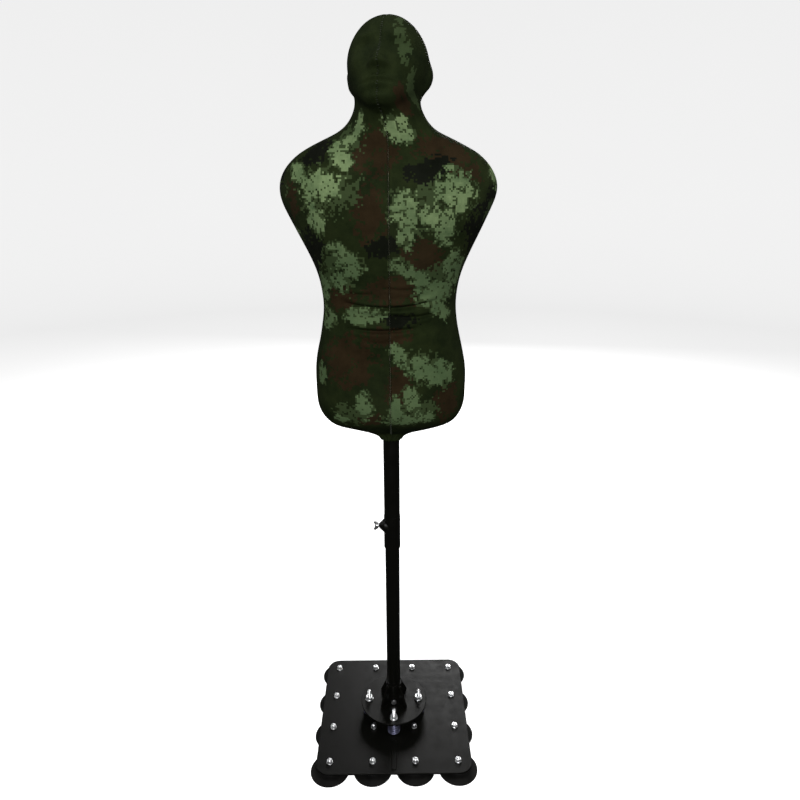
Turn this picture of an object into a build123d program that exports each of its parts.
from build123d import *
from math import cos, pi, radians, sin
import os

# A life-size training dummy, a head and an armless torso, on a telescopic pole.
# The pole stands on a round rocker plate that tilts on a centre ball against four springs,
# over a square base plate with sixteen suction cups.
# Frame: origin on the pole's axis at the floor, +Z up, the dummy faces -Y, +X is its left-hand side.
# Millimetres.

# ---- driving dimensions ------------------------------------------------------------------------

# base plate and suction cups
CUP_PITCH = 110.0
CUPS_PER_SIDE = 4
CUP_RADIUS = 50.0
CUP_HEIGHT = 22.0
CUP_BOSS_RADIUS = 20.0
CUP_LIP = 1.5
CUP_RIM_WIDTH = 2.5
CUP_HOLLOW = 7.0
PLATE_SIDE = 400.0
PLATE_THICKNESS = 5.0
PLATE_CORNER = 34.0
PLATE_EDGE = 1.0  # rounding of the plate's rims
RIB_WIDTH = 14.0
RIB_HEIGHT = 2.5
RIB_START = 96.0
RIB_END = 192.0
RIB_SLOPE = 30  # degrees

# M8 hardware on the cups
M8_RADIUS = 4.0
M8_HOLE = 4.5
M8_FLATS = 13.0
M8_NUT = 6.5
NUT_CHAMFER = 0.6
M8_WASHER = (4.2, 8.0, 1.6)  # bore radius, outer radius, thickness
STUD_FLANGE = (12.0, 3.0)  # radius and thickness of the head moulded into the cup
STUD_FLANGE_LIFT = 12.0
STUD_TIP = 38.0
STUD_CHAMFER = 0.8

# rocker plate, its centre ball and its spring bolts
ROCKER_RADIUS = 90.0
ROCKER_THICKNESS = 6.0
ROCKER_EDGE = 1.2
ROCKER_LIFT = 65.0
BOLT_CIRCLE = 68.0
BALL_LIFT = 46.0
BALL_RADIUS = 10.0
BALL_CLEARANCE = 0.3
PEDESTAL_RADIUS = 13.0
PEDESTAL_FOOT = (22.0, 4.0)  # radius and thickness of its flange
PIVOT_CUP_RADIUS = 15.0
PIVOT_GAP = 4.0  # each pivot half stops this far from the ball's centre
SPRING_RADIUS = 14.5
SPRING_WIRE = 2.5
SPRING_TURNS = 5
M10_RADIUS = 5.0
M10_HOLE = 5.25
M10_CHAMFER = 1.0
M10_FLATS = 17.0
M10_NUT = 8.0
M10_JAM_NUT = 6.0
M10_WASHER = (5.2, 10.5, 2.0)
STOP_WASHER = (5.2, 14.0, 2.0)
BOLT_SLACK = 9.0  # hole radius in the base plate, so that the bolts can lean
STOP_GAP = 6.6  # drop from the base plate's underside to the stop washers
BOLT_STAND = 29.0  # bolt length above the rocker plate
BOLT_POINT = 1.0  # bolt length below the stop nuts

# pole
SOCKET_RADIUS = 20.5
SOCKET_HEIGHT = 60.0
GUSSET_REACH = 48.0
GUSSET_THICKNESS = 5.0
GUSSET_TOE = 6.0  # height of its outer end
GUSSET_TOP = (4.0, 3.0)  # width at the top, and drop from the socket's top
SET_BOLT_LIFT = 10.0  # above the rocker plate
SET_BOLT_HEAD = 5.3
SET_BOLT_REACH = 5.0  # shank outside the lower tube
LOWER_RADIUS = 18.0
LOWER_WALL = 2.0
LOWER_TOP = 865.0
CAP_LENGTH = 20.0  # of both end caps, inside their tubes
LOWER_CAP_RIM = 3.0
UPPER_RADIUS = 19.4
UPPER_WALL = 1.2
UPPER_FOOT = 562.0
UPPER_TOP = 1462.0
UPPER_PLUG_RIM = 5.0
SLEEVE_WALL = 1.0
SLEEVE_HEIGHT = 89.0
SCREW_LIFT = 622.0
BOSS_FOOT_RADIUS = 18.5
BOSS_TIP_RADIUS = 5.5
BOSS_SHOULDER = 18.5  # distance from the pole's axis where the boss starts to taper
BOSS_TIP = 32.5
BOSS_ROOT = 5.0  # where the boss's solid starts, before the sleeve is cut from it
WING_HUB = 38.0
WING_HUB_SIZE = (5.5, 8.0)  # radius at the foot, and length
WING_HUB_OVERLAP = 3.0
WING_END = 49.0
WING_SPAN = 13.0
WING_THICKNESS = 3.2
SCREW_BORE = 4.06  # radius of the boss's thread

# dummy
CORE_BORE = 19.5
CORE_RADIUS = 22.0
CORE_FOOT = 880.0
CORE_TOP = 1475.0
CORE_CAP_RIM = 4.0
BOARD_TOP = 920.0
BOARD_THICKNESS = 10.0
BOARD_HALF_WIDTH = 110.0
BOARD_HALF_DEPTH = 66.0
FLANGE_RADIUS = 45.0
FLANGE_THICKNESS = 4.0
FLANGE_SCREW_CIRCLE = 35.0
FLANGE_SCREW_RADIUS = 1.9
FLANGE_SCREW_HOLE = 2.2
FLANGE_SCREW_HEAD = (3.8, 2.2)  # radius and thickness
FLANGE_SCREW_END = 1.0  # left of the board above the screw's point
PAD_BORE_GAP = 3.0
HEM_LIFT = 4.0  # elastic cord above the cover's lowest edge
HEM_CORD = 1.6
HEM_GAP = 1.0
COVER_THICKNESS = 1.6
FOAM_CLEARANCE = 0.4
FIT = 0.1
GAP = 0.3  # between pieces that move past each other

# The form of the dummy, from the hem up: height, half width, reach to the front and to the back.
TORSO = [
    (860, 26, 26, 26),
    (873, 44, 30, 31),
    (886, 81, 48, 50),
    (899, 120, 69, 71),
    (914, 147, 87, 91),
    (939, 163, 99, 105),
    (985, 170, 104, 112),
    (1037, 169, 102, 106),
    (1100, 158, 98, 92),
    (1183, 145, 94, 82),
    (1248, 154, 104, 90),
    (1313, 180, 119, 100),
    (1375, 210, 123, 108),
    (1423, 225, 115, 112),
    (1460, 214, 102, 111),
    (1493, 181, 88, 104),
    (1521, 126, 73, 94),
    (1545, 82, 62, 84),
    (1571, 67, 56, 78),
    (1600, 65, 54, 76),
]
HEAD = [
    (1568, 26, 100, -50),
    (1580, 42, 112, -6),
    (1598, 57, 115, 52),
    (1618, 69, 113, 98),
    (1640, 78, 106, 116),
    (1664, 80, 96, 120),
    (1690, 71, 78, 117),
    (1713, 55, 52, 103),
    (1731, 33, 22, 82),
    (1740, 9, -22, 56),
]
SQUARENESS = 2.3  # exponent of the sections' outline, 2 being an ellipse
OUTLINE_POINTS = 12

# ---- sizes worked out from them ----------------------------------------------------------------

PLATE_TOP = CUP_HEIGHT + PLATE_THICKNESS
ROCKER_TOP = ROCKER_LIFT + ROCKER_THICKNESS
SOCKET_TOP = ROCKER_TOP + SOCKET_HEIGHT
STOP_WASHER_FOOT = CUP_HEIGHT - STOP_GAP - STOP_WASHER[2]
STOP_NUT_FOOT = STOP_WASHER_FOOT - M10_JAM_NUT
BOLT_FOOT = STOP_NUT_FOOT - BOLT_POINT
BOARD_FOOT = BOARD_TOP - BOARD_THICKNESS
FLANGE_FOOT = BOARD_FOOT - FLANGE_THICKNESS
PAD_FOOT = TORSO[1][0]
SCREW_HEAD_FOOT = FLANGE_FOOT - FLANGE_SCREW_HEAD[1]
CORE_CAP_FOOT = UPPER_TOP + UPPER_PLUG_RIM + GAP
CORE_CAP_TOP = CORE_TOP + CORE_CAP_RIM
SLEEVE_RADIUS = UPPER_RADIUS + SLEEVE_WALL
M8_BORE = M8_RADIUS + FIT
M10_BORE = M10_RADIUS + FIT
SET_BOLT_HEIGHT = ROCKER_TOP + SET_BOLT_LIFT
SCREW_PLANE = Plane((0, 0, SCREW_LIFT), x_dir=(0, 1, 0), z_dir=(-1, 0, 0))
CUP_PLACES = [
    (CUP_PITCH * (column - (CUPS_PER_SIDE - 1) / 2), CUP_PITCH * (row - (CUPS_PER_SIDE - 1) / 2))
    for row in range(CUPS_PER_SIDE)
    for column in range(CUPS_PER_SIDE)
]
SPRING_PLACES = {
    "front": (0, -BOLT_CIRCLE),
    "back": (0, BOLT_CIRCLE),
    "left": (BOLT_CIRCLE, 0),
    "right": (-BOLT_CIRCLE, 0),
}
BOLT_PLACES = list(SPRING_PLACES.values())


def upright(x=0.0, y=0.0):
    """The plane in which a part turned about (x, y) is drawn: local x outwards, local y up."""
    return Plane((x, y, 0), x_dir=(1, 0, 0), z_dir=(0, -1, 0))


def save(part, name):
    """Labels a finished piece and writes it."""
    part.label = name
    export_step(part, f"parts/{name}.step")


def nuts(flats, bore, foot, height, places):
    """Hexagon nuts, as separate solids."""
    with BuildPart() as made:
        with BuildSketch(Plane.XY.offset(foot)):
            with Locations(*places):
                RegularPolygon(flats / 2, 6, major_radius=False)
                Circle(bore, mode=Mode.SUBTRACT)
        extrude(amount=height)
        rims = made.edges().filter_by(Plane.XY).filter_by(GeomType.LINE)
        chamfer(rims, NUT_CHAMFER)
    return made.part


def washers(sizes, foot, places):
    """Plain washers, as separate solids."""
    bore, outside, thickness = sizes
    with BuildPart() as made:
        with BuildSketch(Plane.XY.offset(foot)):
            with Locations(*places):
                Circle(outside)
                Circle(bore, mode=Mode.SUBTRACT)
        extrude(amount=thickness)
    return made.part


def tube(outside, bore, foot, top):
    """A round tube on the pole's axis."""
    with BuildPart() as made:
        with BuildSketch(Plane.XY.offset(foot)):
            Circle(outside)
            Circle(bore, mode=Mode.SUBTRACT)
        extrude(amount=top - foot)
    return made.part


def outline(half_width, front, back, grow):
    """Points of a body section: a superellipse, wider or narrower by grow."""
    across = half_width + grow
    along = (front + back) / 2 + grow
    centre = (back - front) / 2
    power = 2 / SQUARENESS
    points = []
    for step in range(OUTLINE_POINTS):
        angle = 2 * pi * step / OUTLINE_POINTS
        c = cos(angle)
        s = sin(angle)
        x = across * abs(c) ** power * (1 if c > 0 else -1)
        y = along * abs(s) ** power * (1 if s > 0 else -1)
        points.append((x, centre + y))
    return points


def body_form(grow):
    """The closed form of head and torso, with every section wider by grow and the crown higher by it."""
    with BuildPart() as form:
        for sections in (TORSO, HEAD):
            crown = sections[-1][0]
            for height, half_width, front, back in sections:
                lift = grow if sections is HEAD and height == crown else 0
                with BuildSketch(Plane.XY.offset(height + lift)):
                    with BuildLine():
                        Spline(*outline(half_width, front, back, grow), periodic=True)
                    make_face()
            loft()
    return form.part


os.makedirs("parts", exist_ok=True)

# ---- base ---------------------------------------------------------------------------------------

with BuildPart() as base_plate:
    with BuildSketch(Plane.XY.offset(CUP_HEIGHT)):
        RectangleRounded(PLATE_SIDE, PLATE_SIDE, PLATE_CORNER)
        with Locations(*CUP_PLACES):
            Circle(M8_HOLE, mode=Mode.SUBTRACT)
        with Locations(*BOLT_PLACES):
            Circle(BOLT_SLACK, mode=Mode.SUBTRACT)
    extrude(amount=PLATE_THICKNESS)
    plate_rims = base_plate.edges().filter_by(Plane.XY).group_by(SortBy.LENGTH)[-1]
    fillet(plate_rims, PLATE_EDGE)
    with BuildSketch(Plane.XY.offset(PLATE_TOP - PLATE_EDGE)):
        with Locations((0, -(RIB_START + RIB_END) / 2)):
            SlotOverall(RIB_END - RIB_START, RIB_WIDTH, rotation=90)
    extrude(amount=RIB_HEIGHT + PLATE_EDGE, taper=RIB_SLOPE)
save(base_plate.part, "base_plate")

for number, (cup_x, cup_y) in enumerate(CUP_PLACES, start=1):
    with BuildPart() as suction_cup:
        with BuildSketch(upright(cup_x, cup_y)):
            with BuildLine():
                rim = Line((CUP_RADIUS, 0), (CUP_RADIUS, CUP_LIP))
                skirt = Spline(
                    rim @ 1,
                    (0.72 * CUP_RADIUS, 0.25 * CUP_HEIGHT),
                    (CUP_BOSS_RADIUS, 0.72 * CUP_HEIGHT),
                    tangents=[(-1, 0.2), (-0.1, 1)],
                )
                flange_top = STUD_FLANGE_LIFT + STUD_FLANGE[1]
                inside = Polyline(
                    skirt @ 1,
                    (CUP_BOSS_RADIUS, CUP_HEIGHT),
                    (M8_RADIUS, CUP_HEIGHT),
                    (M8_RADIUS, flange_top),
                    (STUD_FLANGE[0], flange_top),
                    (STUD_FLANGE[0], STUD_FLANGE_LIFT),
                    (0, STUD_FLANGE_LIFT),
                    (0, CUP_HOLLOW),
                )
                hollow = Spline(
                    inside @ 1,
                    (0.55 * CUP_RADIUS, 0.62 * CUP_HOLLOW),
                    (CUP_RADIUS - CUP_RIM_WIDTH, 0),
                    tangents=[(1, 0), (1, -0.6)],
                )
                Line(hollow @ 1, rim @ 0)
            make_face()
        revolve(axis=Axis((cup_x, cup_y, 0), (0, 0, 1)))
    save(suction_cup.part, f"suction_cup_{number:02d}")

with BuildPart() as cup_studs:
    with BuildSketch(Plane.XY.offset(STUD_FLANGE_LIFT)):
        with Locations(*CUP_PLACES):
            Circle(STUD_FLANGE[0])
    extrude(amount=STUD_FLANGE[1])
    with BuildSketch(Plane.XY.offset(STUD_FLANGE_LIFT)):
        with Locations(*CUP_PLACES):
            Circle(M8_RADIUS)
    extrude(amount=STUD_TIP - STUD_FLANGE_LIFT)
    chamfer(cup_studs.edges().group_by(Axis.Z)[-1], STUD_CHAMFER)
save(cup_studs.part, "cup_studs")

save(washers(M8_WASHER, PLATE_TOP, CUP_PLACES), "cup_washers")
save(nuts(M8_FLATS, M8_BORE, PLATE_TOP + M8_WASHER[2], M8_NUT, CUP_PLACES), "cup_nuts")

with BuildPart() as pivot_pedestal:
    with BuildSketch(Plane.XY.offset(PLATE_TOP)):
        Circle(PEDESTAL_FOOT[0])
    extrude(amount=PEDESTAL_FOOT[1])
    with BuildSketch(Plane.XY.offset(PLATE_TOP)):
        Circle(PEDESTAL_RADIUS)
    extrude(amount=BALL_LIFT - PIVOT_GAP - PLATE_TOP)
    with Locations((0, 0, BALL_LIFT)):
        Sphere(BALL_RADIUS + BALL_CLEARANCE, mode=Mode.SUBTRACT)
save(pivot_pedestal.part, "pivot_pedestal")

for side, (spring_x, spring_y) in SPRING_PLACES.items():
    coil_rise = ROCKER_LIFT - PLATE_TOP - 2 * SPRING_WIRE
    with BuildPart() as tilt_spring:
        with BuildLine():
            coil = Helix(
                coil_rise / SPRING_TURNS,
                coil_rise,
                SPRING_RADIUS,
                center=(spring_x, spring_y, PLATE_TOP + SPRING_WIRE),
            )
        with BuildSketch(Plane(origin=coil @ 0, z_dir=coil % 0)):
            Circle(SPRING_WIRE)
        sweep(path=coil, is_frenet=True)
    save(tilt_spring.part, f"tilt_spring_{side}")

# ---- centre ball --------------------------------------------------------------------------------

with BuildPart() as pivot_ball:
    with Locations((0, 0, BALL_LIFT)):
        Sphere(BALL_RADIUS)
save(pivot_ball.part, "pivot_ball")

# ---- rocker plate and lower tube ----------------------------------------------------------------

with BuildPart() as rocker_disc:
    with BuildSketch(Plane.XY.offset(ROCKER_LIFT)):
        Circle(ROCKER_RADIUS)
        with Locations(*BOLT_PLACES):
            Circle(M10_HOLE, mode=Mode.SUBTRACT)
    extrude(amount=ROCKER_THICKNESS)
    disc_rims = rocker_disc.edges().filter_by(GeomType.CIRCLE).sort_by(SortBy.RADIUS)[-2:]
    fillet(disc_rims, ROCKER_EDGE)
save(rocker_disc.part, "rocker_disc")

with BuildPart() as pivot_cup:
    with BuildSketch(Plane.XY.offset(BALL_LIFT + PIVOT_GAP)):
        Circle(PIVOT_CUP_RADIUS)
    extrude(amount=ROCKER_LIFT - BALL_LIFT - PIVOT_GAP)
    with Locations((0, 0, BALL_LIFT)):
        Sphere(BALL_RADIUS + BALL_CLEARANCE, mode=Mode.SUBTRACT)
save(pivot_cup.part, "pivot_cup")

with BuildPart() as tilt_bolts:
    with BuildSketch(Plane.XY.offset(BOLT_FOOT)):
        with Locations(*BOLT_PLACES):
            Circle(M10_RADIUS)
    extrude(amount=ROCKER_TOP + BOLT_STAND - BOLT_FOOT)
    chamfer(tilt_bolts.edges().filter_by(GeomType.CIRCLE), M10_CHAMFER)
save(tilt_bolts.part, "tilt_bolts")

save(washers(M10_WASHER, ROCKER_TOP, BOLT_PLACES), "tilt_bolt_washers")
save(nuts(M10_FLATS, M10_BORE, ROCKER_TOP + M10_WASHER[2], M10_NUT, BOLT_PLACES), "tilt_bolt_nuts")
save(nuts(M10_FLATS, M10_BORE, ROCKER_LIFT - M10_NUT, M10_NUT, BOLT_PLACES), "tilt_bolt_lock_nuts")
save(washers(STOP_WASHER, STOP_WASHER_FOOT, BOLT_PLACES), "stop_washers")
save(nuts(M10_FLATS, M10_BORE, STOP_NUT_FOOT, M10_JAM_NUT, BOLT_PLACES), "stop_nuts")

with BuildPart() as pole_socket:
    with BuildSketch(Plane.XY.offset(ROCKER_TOP)):
        Circle(SOCKET_RADIUS)
        Circle(LOWER_RADIUS + FIT, mode=Mode.SUBTRACT)
    extrude(amount=SOCKET_HEIGHT)
    with BuildSketch(Plane.XZ):
        with Locations((0, SET_BOLT_HEIGHT)):
            Circle(M8_BORE)
    extrude(amount=2 * SOCKET_RADIUS, mode=Mode.SUBTRACT)
save(pole_socket.part, "pole_socket")

for number in range(1, 5):
    turn = radians(90 * number - 45)
    away = (cos(turn), sin(turn), 0)
    with BuildPart() as socket_gusset:
        with BuildSketch(Plane((0, 0, 0), x_dir=away, z_dir=(sin(turn), -cos(turn), 0))):
            Polygon(
                (SOCKET_RADIUS + FIT, ROCKER_TOP),
                (GUSSET_REACH, ROCKER_TOP),
                (GUSSET_REACH, ROCKER_TOP + GUSSET_TOE),
                (SOCKET_RADIUS + GUSSET_TOP[0], SOCKET_TOP - GUSSET_TOP[1]),
                (SOCKET_RADIUS + FIT, SOCKET_TOP - GUSSET_TOP[1]),
                align=None,
            )
        extrude(amount=GUSSET_THICKNESS / 2, both=True)
    save(socket_gusset.part, f"socket_gusset_{number}")

with BuildPart() as socket_set_bolt:
    with BuildSketch(Plane.XZ.offset(LOWER_RADIUS)):
        with Locations((0, SET_BOLT_HEIGHT)):
            Circle(M8_RADIUS)
    extrude(amount=SET_BOLT_REACH)
    with BuildSketch(Plane.XZ.offset(SOCKET_RADIUS + GAP)):
        with Locations((0, SET_BOLT_HEIGHT)):
            RegularPolygon(M8_FLATS / 2, 6, major_radius=False)
    extrude(amount=SET_BOLT_HEAD)
save(socket_set_bolt.part, "socket_set_bolt")

save(tube(LOWER_RADIUS, LOWER_RADIUS - LOWER_WALL, ROCKER_TOP, LOWER_TOP), "lower_tube")

with BuildPart() as lower_tube_cap:
    with BuildSketch(Plane.XY.offset(LOWER_TOP - CAP_LENGTH)):
        Circle(LOWER_RADIUS - LOWER_WALL - FIT)
    extrude(amount=CAP_LENGTH)
    with BuildSketch(Plane.XY.offset(LOWER_TOP)):
        Circle(LOWER_RADIUS - FIT)
    extrude(amount=LOWER_CAP_RIM)
save(lower_tube_cap.part, "lower_tube_cap")

# ---- upper tube and its clamp -------------------------------------------------------------------

with BuildPart() as upper_tube:
    with BuildSketch(Plane.XY.offset(UPPER_FOOT)):
        Circle(UPPER_RADIUS)
        Circle(UPPER_RADIUS - UPPER_WALL, mode=Mode.SUBTRACT)
    extrude(amount=UPPER_TOP - UPPER_FOOT)
    with BuildSketch(SCREW_PLANE):
        Circle(M8_HOLE)
    extrude(amount=2 * UPPER_RADIUS, mode=Mode.SUBTRACT)
save(upper_tube.part, "upper_tube")

with BuildPart() as clamp_sleeve:
    with BuildSketch(Plane.XY.offset(UPPER_FOOT)):
        Circle(SLEEVE_RADIUS)
        Circle(UPPER_RADIUS, mode=Mode.SUBTRACT)
    extrude(amount=SLEEVE_HEIGHT)
    with BuildSketch(SCREW_PLANE):
        Circle(M8_HOLE)
    extrude(amount=2 * SLEEVE_RADIUS, mode=Mode.SUBTRACT)
save(clamp_sleeve.part, "clamp_sleeve")

with BuildPart() as clamp_boss:
    with BuildSketch(upright()):
        Polygon(
            (-BOSS_TIP, SCREW_LIFT),
            (-BOSS_TIP, SCREW_LIFT + BOSS_TIP_RADIUS),
            (-BOSS_SHOULDER, SCREW_LIFT + BOSS_FOOT_RADIUS),
            (-BOSS_ROOT, SCREW_LIFT + BOSS_FOOT_RADIUS),
            (-BOSS_ROOT, SCREW_LIFT),
            align=None,
        )
    revolve(axis=Axis((0, 0, SCREW_LIFT), (1, 0, 0)))
    with BuildSketch(Plane.XY.offset(UPPER_FOOT)):
        Circle(SLEEVE_RADIUS)
    extrude(amount=2 * SLEEVE_HEIGHT, mode=Mode.SUBTRACT)
    with BuildSketch(SCREW_PLANE):
        Circle(SCREW_BORE)
    extrude(amount=2 * BOSS_TIP, mode=Mode.SUBTRACT)
save(clamp_boss.part, "clamp_boss")

with BuildPart() as upper_tube_plug:
    with BuildSketch(Plane.XY.offset(UPPER_TOP - CAP_LENGTH)):
        Circle(UPPER_RADIUS - UPPER_WALL - FIT)
    extrude(amount=CAP_LENGTH)
    with BuildSketch(Plane.XY.offset(UPPER_TOP)):
        Circle(UPPER_RADIUS - FIT)
    extrude(amount=UPPER_PLUG_RIM)
save(upper_tube_plug.part, "upper_tube_plug")

with BuildPart() as wing_screw:
    with BuildSketch(SCREW_PLANE.offset(LOWER_RADIUS + GAP)):
        Circle(M8_RADIUS)
    extrude(amount=WING_HUB - LOWER_RADIUS)
    with BuildSketch(SCREW_PLANE.offset(WING_HUB - WING_HUB_OVERLAP)):
        Circle(WING_HUB_SIZE[0])
    extrude(amount=WING_HUB_SIZE[1], taper=8)
    with BuildSketch(Plane((0, 0, SCREW_LIFT), x_dir=(1, 0, 0), z_dir=(0, -1, 0))):
        with BuildLine():
            wing = Spline(
                (-WING_HUB + 1, 0),
                (-WING_HUB, 6),
                (-WING_END + 3, WING_SPAN),
                (-WING_END, WING_SPAN - 3.5),
                (-WING_HUB - 5.5, 2.5),
                (-WING_HUB - 4.5, 0),
            )
            Line(wing @ 1, wing @ 0)
        make_face()
        mirror(about=Plane.XZ)
    extrude(amount=WING_THICKNESS / 2, both=True)
save(wing_screw.part, "wing_screw")

# ---- dummy --------------------------------------------------------------------------------------

save(tube(CORE_RADIUS, CORE_BORE, CORE_FOOT, CORE_TOP), "core_tube")

with BuildPart() as core_cap:
    with BuildSketch(Plane.XY.offset(CORE_CAP_FOOT)):
        Circle(CORE_BORE - FIT)
    extrude(amount=CORE_TOP - CORE_CAP_FOOT)
    with BuildSketch(Plane.XY.offset(CORE_TOP)):
        Circle(CORE_RADIUS)
    extrude(amount=CORE_CAP_RIM)
save(core_cap.part, "core_cap")

with BuildPart() as bottom_board:
    with BuildSketch(Plane.XY.offset(BOARD_FOOT)):
        Ellipse(BOARD_HALF_WIDTH, BOARD_HALF_DEPTH)
        Circle(CORE_RADIUS + FIT, mode=Mode.SUBTRACT)
        with PolarLocations(FLANGE_SCREW_CIRCLE, 4, start_angle=45):
            Circle(FLANGE_SCREW_RADIUS, mode=Mode.SUBTRACT)
    extrude(amount=BOARD_THICKNESS)
save(bottom_board.part, "bottom_board")

with BuildPart() as core_flange:
    with BuildSketch(Plane.XY.offset(FLANGE_FOOT)):
        Circle(FLANGE_RADIUS)
        Circle(CORE_RADIUS + FIT, mode=Mode.SUBTRACT)
        with PolarLocations(FLANGE_SCREW_CIRCLE, 4, start_angle=45):
            Circle(FLANGE_SCREW_HOLE, mode=Mode.SUBTRACT)
    extrude(amount=FLANGE_THICKNESS)
save(core_flange.part, "core_flange")

with BuildPart() as flange_screws:
    with BuildSketch(Plane.XY.offset(FLANGE_FOOT)):
        with PolarLocations(FLANGE_SCREW_CIRCLE, 4, start_angle=45):
            Circle(FLANGE_SCREW_RADIUS)
    extrude(amount=FLANGE_THICKNESS + BOARD_THICKNESS - FLANGE_SCREW_END)
    with BuildSketch(Plane.XY.offset(SCREW_HEAD_FOOT)):
        with PolarLocations(FLANGE_SCREW_CIRCLE, 4, start_angle=45):
            Circle(FLANGE_SCREW_HEAD[0])
    extrude(amount=FLANGE_SCREW_HEAD[1])
save(flange_screws.part, "flange_screws")

inner_form = body_form(-COVER_THICKNESS - FOAM_CLEARANCE)

with BuildPart() as foam_body:
    add(inner_form)
    split(bisect_by=Plane.XY.offset(BOARD_TOP), keep=Keep.TOP)
    with BuildSketch(Plane.XY.offset(BOARD_TOP)):
        Circle(CORE_RADIUS + FIT)
    extrude(amount=CORE_CAP_TOP + FIT - BOARD_TOP, mode=Mode.SUBTRACT)
save(foam_body.part, "foam_body")

with BuildPart() as base_pad:
    add(inner_form)
    split(bisect_by=Plane.XY.offset(BOARD_FOOT - FIT), keep=Keep.BOTTOM)
    split(bisect_by=Plane.XY.offset(PAD_FOOT), keep=Keep.TOP)
    with BuildSketch(Plane.XY.offset(SCREW_HEAD_FOOT - FIT)):
        Circle(FLANGE_RADIUS + FIT)
    extrude(amount=BOARD_TOP - SCREW_HEAD_FOOT, mode=Mode.SUBTRACT)
    with BuildSketch(Plane.XY.offset(PAD_FOOT)):
        Circle(CORE_RADIUS + PAD_BORE_GAP)
    extrude(amount=BOARD_TOP - PAD_FOOT, mode=Mode.SUBTRACT)
save(base_pad.part, "base_pad")

outer_form = body_form(0)
lining_form = body_form(-COVER_THICKNESS)

for side, keep in (("left", Keep.TOP), ("right", Keep.BOTTOM)):
    with BuildPart() as cover:
        add(outer_form)
        add(lining_form, mode=Mode.SUBTRACT)
        split(bisect_by=Plane.YZ, keep=keep)
    save(cover.part, f"cover_{side}")

with BuildPart() as hem_elastic:
    with Locations((0, 0, TORSO[0][0] + HEM_LIFT)):
        Torus(UPPER_RADIUS + HEM_GAP + HEM_CORD, HEM_CORD)
save(hem_elastic.part, "hem_elastic")
